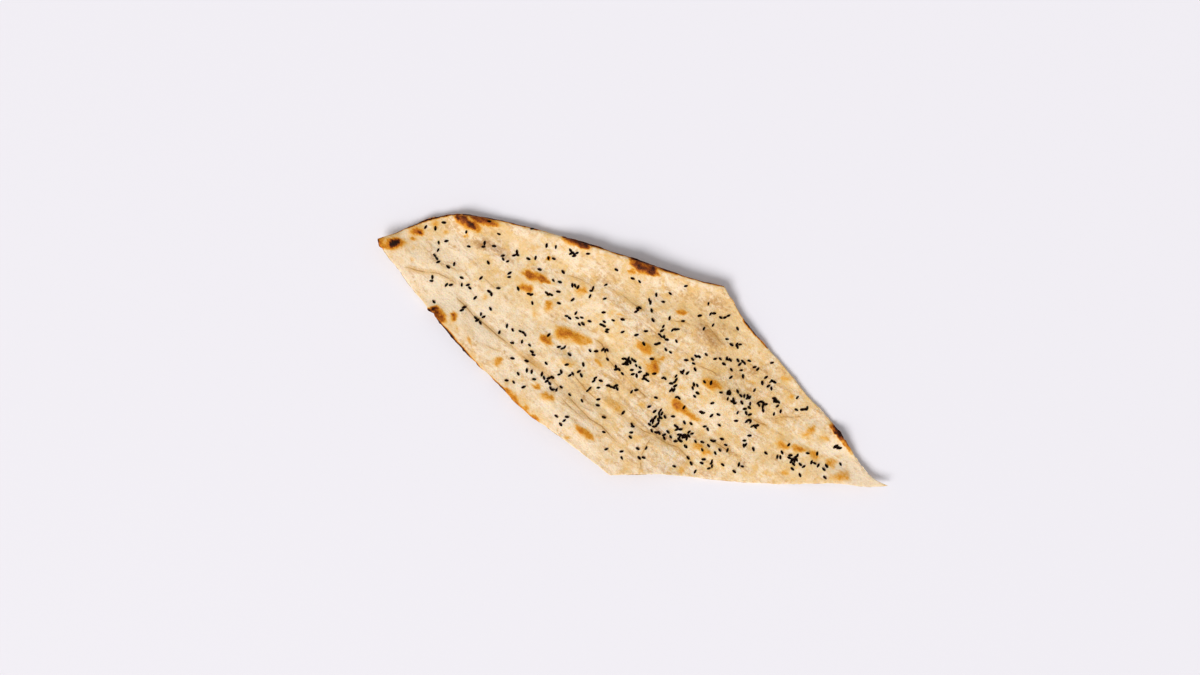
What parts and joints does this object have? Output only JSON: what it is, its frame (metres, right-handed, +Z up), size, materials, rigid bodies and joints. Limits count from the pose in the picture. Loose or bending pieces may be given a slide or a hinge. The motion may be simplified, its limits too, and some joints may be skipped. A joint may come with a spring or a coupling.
{
  "type": "slice of garlic naan",
  "caption": "Thin cut slice of baked flatbread, gently bowed, with browned blisters and small black seeds fused to its top.",
  "frame": {"origin": "middle of the slice's box, on the surface it lies on", "axes": "+X along the slice's longest way, towards its thin right tip; +Y towards the baked rim; +Z up out of the seeded top"},
  "size_m": [0.3294, 0.176, 0.0134],
  "materials": {
    "crust": "matte baked flatbread crust, cream with flour, tan creases and orange-brown blisters",
    "seed": "matt black angular seed"
  },
  "bodies": {
    "root": {"naan_slice": "crust"}
  },
  "joints": []
}
